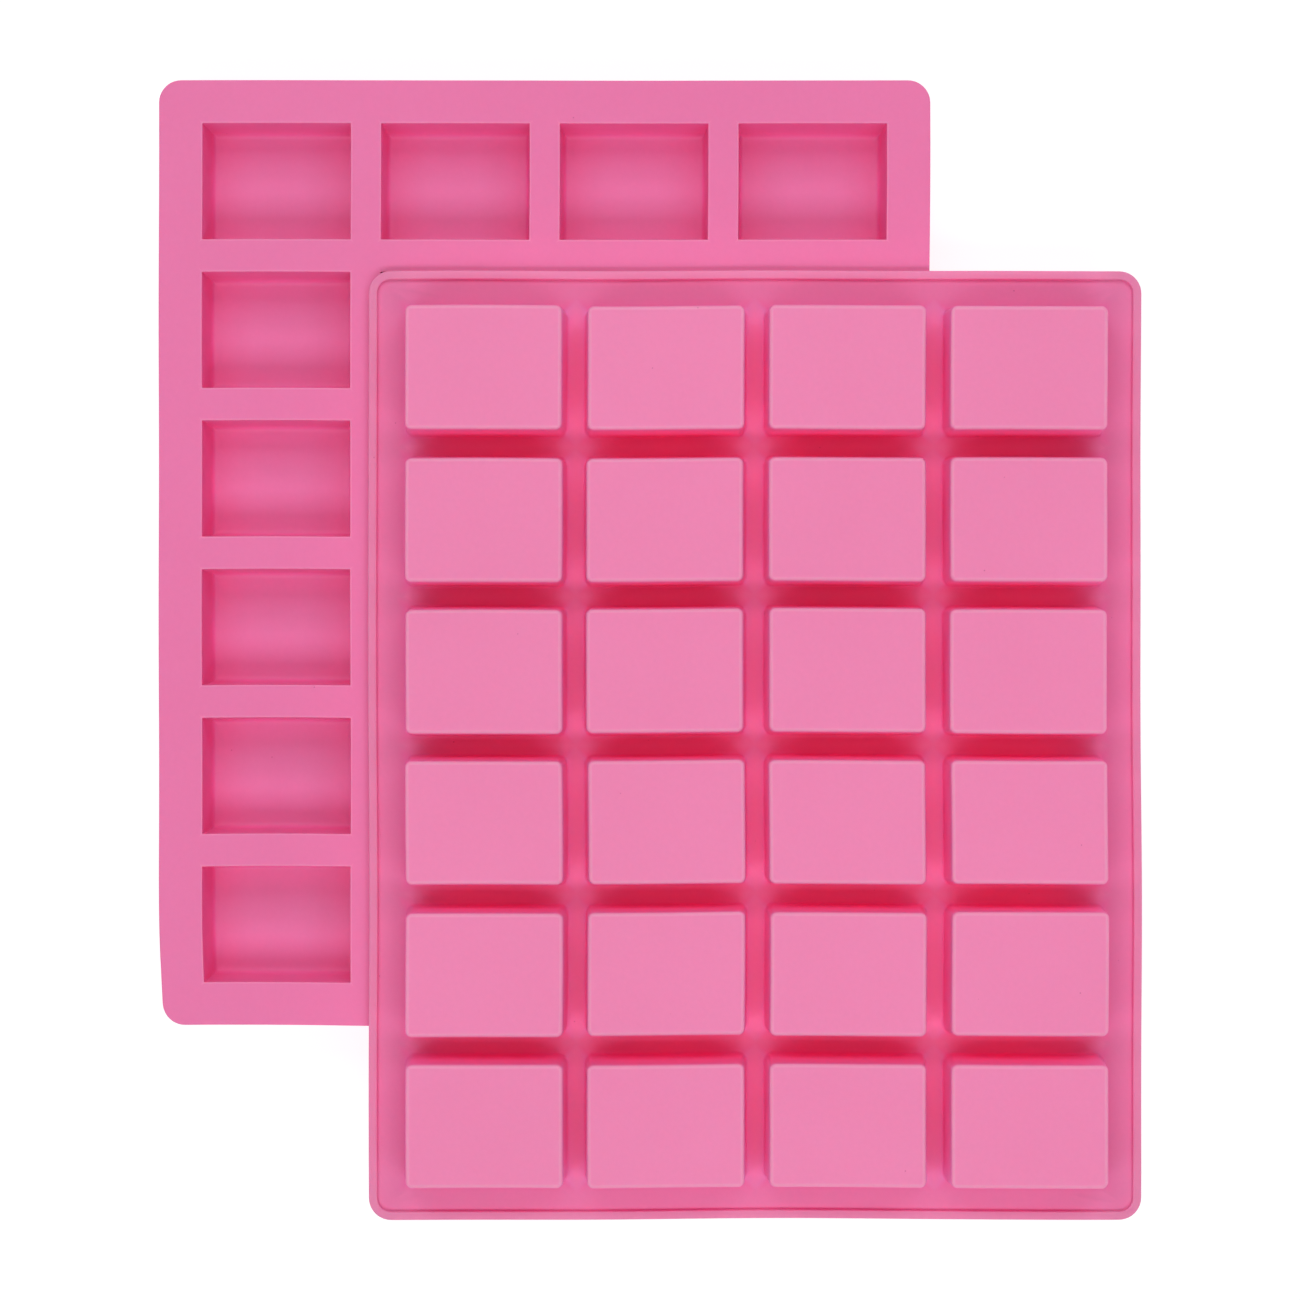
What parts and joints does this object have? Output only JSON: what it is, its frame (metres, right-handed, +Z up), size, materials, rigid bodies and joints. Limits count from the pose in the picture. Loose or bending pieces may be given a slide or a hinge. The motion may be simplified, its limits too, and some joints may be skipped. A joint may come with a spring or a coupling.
{
  "type": "silicone soap mould pair",
  "caption": "Two loose one-piece silicone soap-bar moulds, one cavities up, the other turned over on top of it with its cup bottoms up.",
  "frame": {"origin": "under the middle of the pair, on the surface that the lower mould stands on", "axes": "+Z up, +X along the rows of cups towards the side the upper mould is shifted to, +Y along the columns towards the back; the upper mould is shifted towards -Y"},
  "size_m": [0.3298, 0.3824, 0.05],
  "materials": {
    "pink_silicone": "matte"
  },
  "bodies": {
    "lower": {"lower_mould": "pink_silicone"},
    "upper": {"upper_mould": "pink_silicone"}
  },
  "joints": [
    {"name": "upper_mould_lift", "type": "slide", "parent": "lower", "child": "upper", "axis": [0, 0, 1], "range_m": [0, 0.15]}
  ]
}
